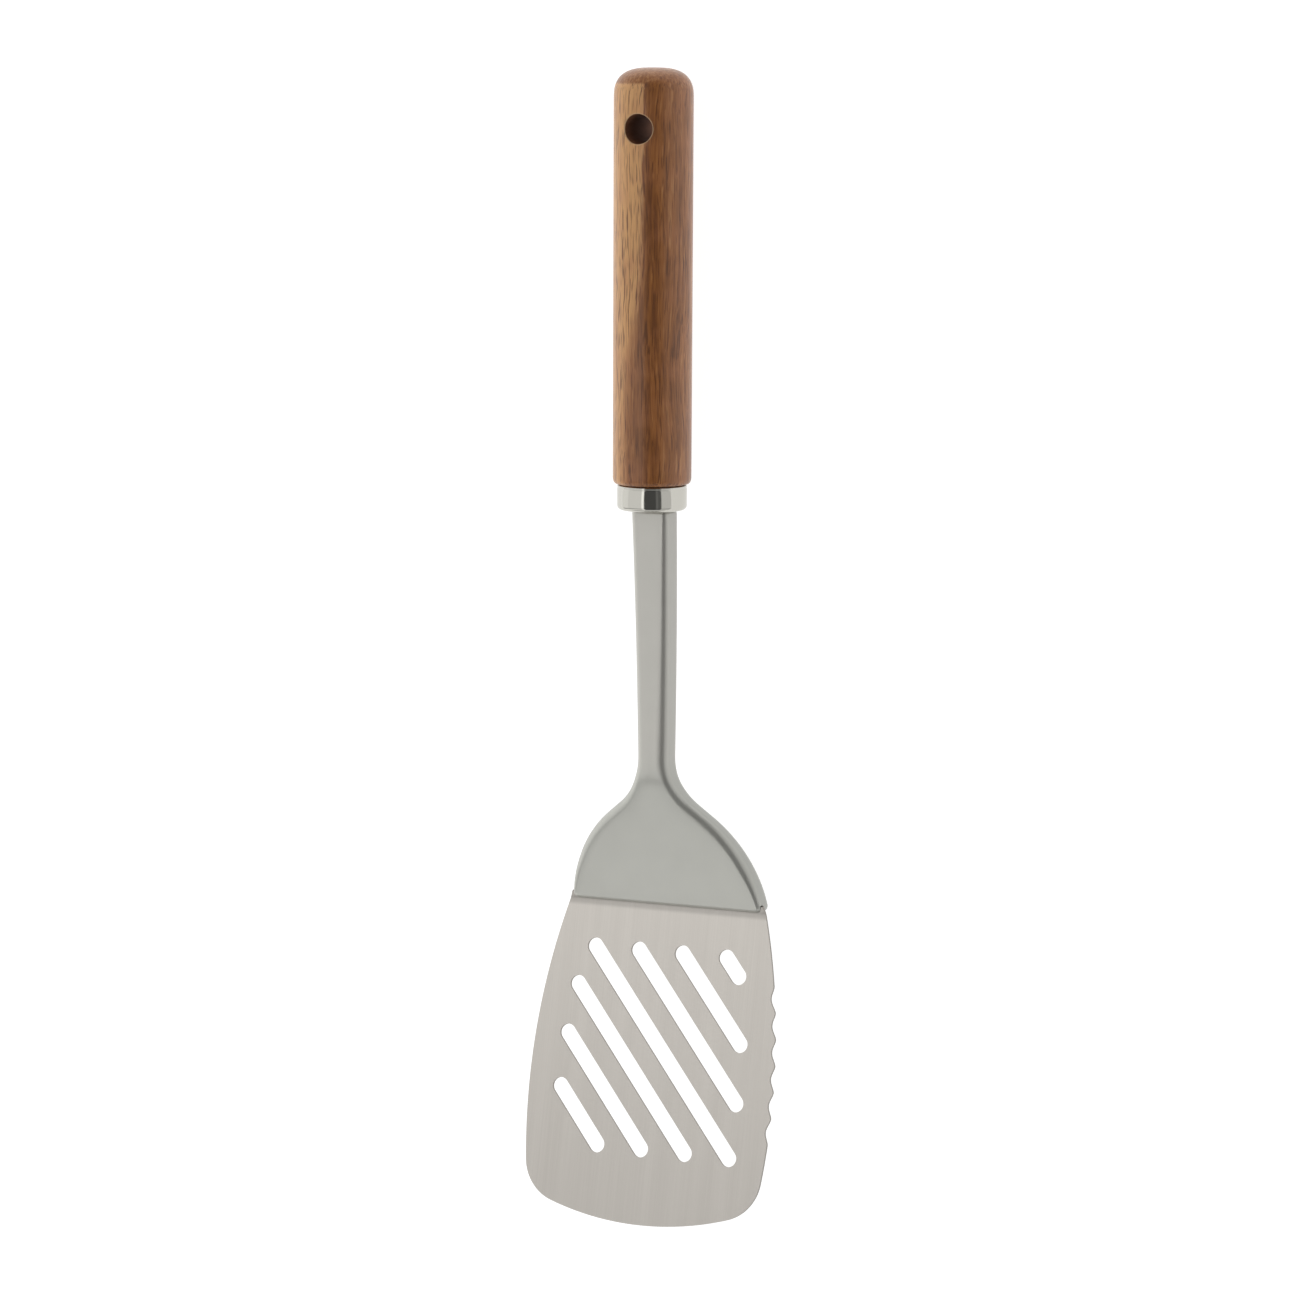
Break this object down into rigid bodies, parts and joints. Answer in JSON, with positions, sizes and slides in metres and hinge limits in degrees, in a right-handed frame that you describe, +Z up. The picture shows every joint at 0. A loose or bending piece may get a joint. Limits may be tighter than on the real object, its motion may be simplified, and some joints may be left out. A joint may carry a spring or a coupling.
{
  "type": "slotted turner",
  "caption": "Slotted kitchen turner: round acacia handle, polished steel ferrule, grey moulded neck on a steel core, and a bent steel blade with diagonal slots and a scalloped edge.",
  "frame": {"origin": "middle of the lowest plane of the tool's box, as the tool lies food side up on its butt and its heel", "axes": "+Z up from the table, +Y along the tool from the blade's tip towards the handle's butt, +X across it, towards the blade's scalloped edge"},
  "size_m": [0.0834, 0.3618, 0.0312],
  "materials": {
    "acacia": "oiled",
    "polished_steel": "mirror polished",
    "grey_nylon": "satin, moulded",
    "bar_steel": "mill finish",
    "sheet_steel": "brushed lengthwise"
  },
  "bodies": {
    "root": {"acacia_handle": "acacia", "ferrule_cup": "polished_steel", "neck_and_shoulder": "grey_nylon", "core_bar": "bar_steel", "slotted_blade": "sheet_steel"}
  },
  "joints": []
}
